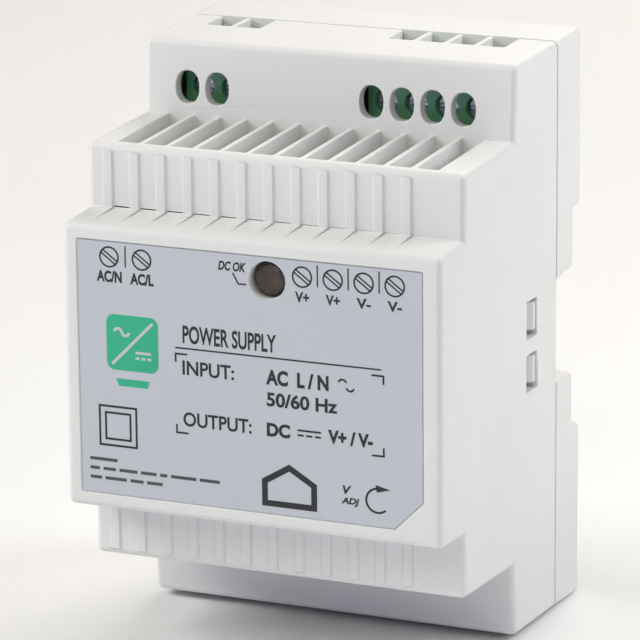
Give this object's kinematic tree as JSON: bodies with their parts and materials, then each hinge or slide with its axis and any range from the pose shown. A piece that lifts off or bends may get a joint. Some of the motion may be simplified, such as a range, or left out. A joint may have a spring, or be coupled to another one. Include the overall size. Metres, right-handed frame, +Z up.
{
  "type": "din rail power supply",
  "caption": "Stepped two-shell plastic power supply module for a 35 mm DIN rail, with screw terminals at the top, ribbed vents, a front label and a sprung rail latch.",
  "frame": {"origin": "middle of the case's bounding box in X and Y, at its lowest face", "axes": "+Z up along the case's height, as it hangs on the rail; -Y out of the label face; +X to the right as seen from the front"},
  "size_m": [0.0614, 0.057, 0.0915],
  "materials": {
    "case_plastic": "fine satin moulded ABS/PC, warm light grey",
    "latch_plastic": "satin moulded plastic, light grey",
    "label_film": "satin printed polyester film, light blue-grey",
    "led_lens": "clear smoky brown epoxy",
    "terminal_plastic": "satin moulded polyamide, green",
    "plated_steel": "bright zinc-plated steel",
    "spring_steel": "drawn spring wire",
    "tinned_brass": "tin-plated brass",
    "board_laminate": "glass-epoxy laminate with green solder mask",
    "insulation_film": "translucent polyester film",
    "aluminium": "mill-finish sheet",
    "ferrite": "dull sintered ferrite",
    "bobbin_plastic": "black moulded phenolic",
    "winding_tape": "yellow polyester tape",
    "copper_wire": "enamelled copper turns",
    "capacitor_sleeve": "shrink sleeve",
    "film_capacitor_box": "yellow moulded box",
    "disc_coating": "dipped blue coating",
    "epoxy_black": "black moulded epoxy",
    "trimmer_blue": "blue moulded body",
    "trimmer_white": "white moulded rotor"
  },
  "bodies": {
    "case": {"front_cover": "case_plastic", "rear_housing": "case_plastic", "latch_spring": "spring_steel", "front_label": "label_film", "led": "led_lens", "main_board": "board_laminate", "control_board": "board_laminate", "insulation_sheet": "insulation_film", "terminal_block_ac": "terminal_plastic", "terminal_block_dc": "terminal_plastic", "fuse": "epoxy_black", "inrush_thermistor": "epoxy_black", "surge_varistor": "disc_coating", "x_capacitor": "film_capacitor_box", "bridge_rectifier": "epoxy_black", "input_capacitor": "capacitor_sleeve", "filter_choke_core": "ferrite", "filter_choke_winding_a": "copper_wire", "filter_choke_winding_b": "copper_wire", "transformer_core": "ferrite", "transformer_bobbin": "bobbin_plastic", "transformer_winding": "winding_tape", "switching_transistor": "epoxy_black", "primary_heatsink": "aluminium", "transistor_screw": "plated_steel", "controller_chip": "epoxy_black", "optocoupler": "epoxy_black", "y_capacitor": "disc_coating", "output_rectifier": "epoxy_black", "secondary_heatsink": "aluminium", "rectifier_screw": "plated_steel", "output_capacitor_1": "capacitor_sleeve", "output_capacitor_2": "capacitor_sleeve", "output_choke": "ferrite", "trimmer_body": "trimmer_blue", "contact_1": "tinned_brass", "contact_2": "tinned_brass", "contact_3": "tinned_brass", "contact_4": "tinned_brass", "contact_5": "tinned_brass", "contact_6": "tinned_brass"},
    "latch": {"din_latch": "latch_plastic"},
    "trimmer": {"trimmer_rotor": "trimmer_white"},
    "screw_1": {"terminal_screw_1": "plated_steel"},
    "clamp_1": {"clamp_1": "plated_steel"},
    "screw_2": {"terminal_screw_2": "plated_steel"},
    "clamp_2": {"clamp_2": "plated_steel"},
    "screw_3": {"terminal_screw_3": "plated_steel"},
    "clamp_3": {"clamp_3": "plated_steel"},
    "screw_4": {"terminal_screw_4": "plated_steel"},
    "clamp_4": {"clamp_4": "plated_steel"},
    "screw_5": {"terminal_screw_5": "plated_steel"},
    "clamp_5": {"clamp_5": "plated_steel"},
    "screw_6": {"terminal_screw_6": "plated_steel"},
    "clamp_6": {"clamp_6": "plated_steel"}
  },
  "joints": [
    {"name": "latch_slide", "type": "slide", "parent": "case", "child": "latch", "axis": [0, 0, -1], "range_m": [0, 0.004], "stiffness_N_per_m": 500, "springref_m": -0.003, "deforming": ["latch_spring"]},
    {"name": "trimmer_turn", "type": "hinge", "parent": "case", "child": "trimmer", "pos_m": [0.0215, 0.0116, 0.00955], "axis": [0, 1, 0], "range_deg": [-135, 135]},
    {"name": "screw_1_turn", "type": "hinge", "parent": "case", "child": "screw_1", "pos_m": [-0.0234, 0.0072, 0.08215], "axis": [0, 1, 0], "range_deg": [0, 1296]},
    {"name": "clamp_1_rise", "type": "slide", "parent": "case", "child": "clamp_1", "axis": [0, -1, 0], "range_m": [0, 0.0018]},
    {"name": "screw_2_turn", "type": "hinge", "parent": "case", "child": "screw_2", "pos_m": [-0.0184, 0.0072, 0.08215], "axis": [0, 1, 0], "range_deg": [0, 1296]},
    {"name": "clamp_2_rise", "type": "slide", "parent": "case", "child": "clamp_2", "axis": [0, -1, 0], "range_m": [0, 0.0018]},
    {"name": "screw_3_turn", "type": "hinge", "parent": "case", "child": "screw_3", "pos_m": [0.0073, 0.0072, 0.08215], "axis": [0, 1, 0], "range_deg": [0, 1296]},
    {"name": "clamp_3_rise", "type": "slide", "parent": "case", "child": "clamp_3", "axis": [0, -1, 0], "range_m": [0, 0.0018]},
    {"name": "screw_4_turn", "type": "hinge", "parent": "case", "child": "screw_4", "pos_m": [0.0123, 0.0072, 0.08215], "axis": [0, 1, 0], "range_deg": [0, 1296]},
    {"name": "clamp_4_rise", "type": "slide", "parent": "case", "child": "clamp_4", "axis": [0, -1, 0], "range_m": [0, 0.0018]},
    {"name": "screw_5_turn", "type": "hinge", "parent": "case", "child": "screw_5", "pos_m": [0.0173, 0.0072, 0.08215], "axis": [0, 1, 0], "range_deg": [0, 1296]},
    {"name": "clamp_5_rise", "type": "slide", "parent": "case", "child": "clamp_5", "axis": [0, -1, 0], "range_m": [0, 0.0018]},
    {"name": "screw_6_turn", "type": "hinge", "parent": "case", "child": "screw_6", "pos_m": [0.0223, 0.0072, 0.08215], "axis": [0, 1, 0], "range_deg": [0, 1296]},
    {"name": "clamp_6_rise", "type": "slide", "parent": "case", "child": "clamp_6", "axis": [0, -1, 0], "range_m": [0, 0.0018]}
  ],
  "couplings": [
    {"joint": "screw_1_turn", "follows": "clamp_1_rise", "rad_per_m": 12566},
    {"joint": "screw_2_turn", "follows": "clamp_2_rise", "rad_per_m": 12566},
    {"joint": "screw_3_turn", "follows": "clamp_3_rise", "rad_per_m": 12566},
    {"joint": "screw_4_turn", "follows": "clamp_4_rise", "rad_per_m": 12566},
    {"joint": "screw_5_turn", "follows": "clamp_5_rise", "rad_per_m": 12566},
    {"joint": "screw_6_turn", "follows": "clamp_6_rise", "rad_per_m": 12566}
  ]
}
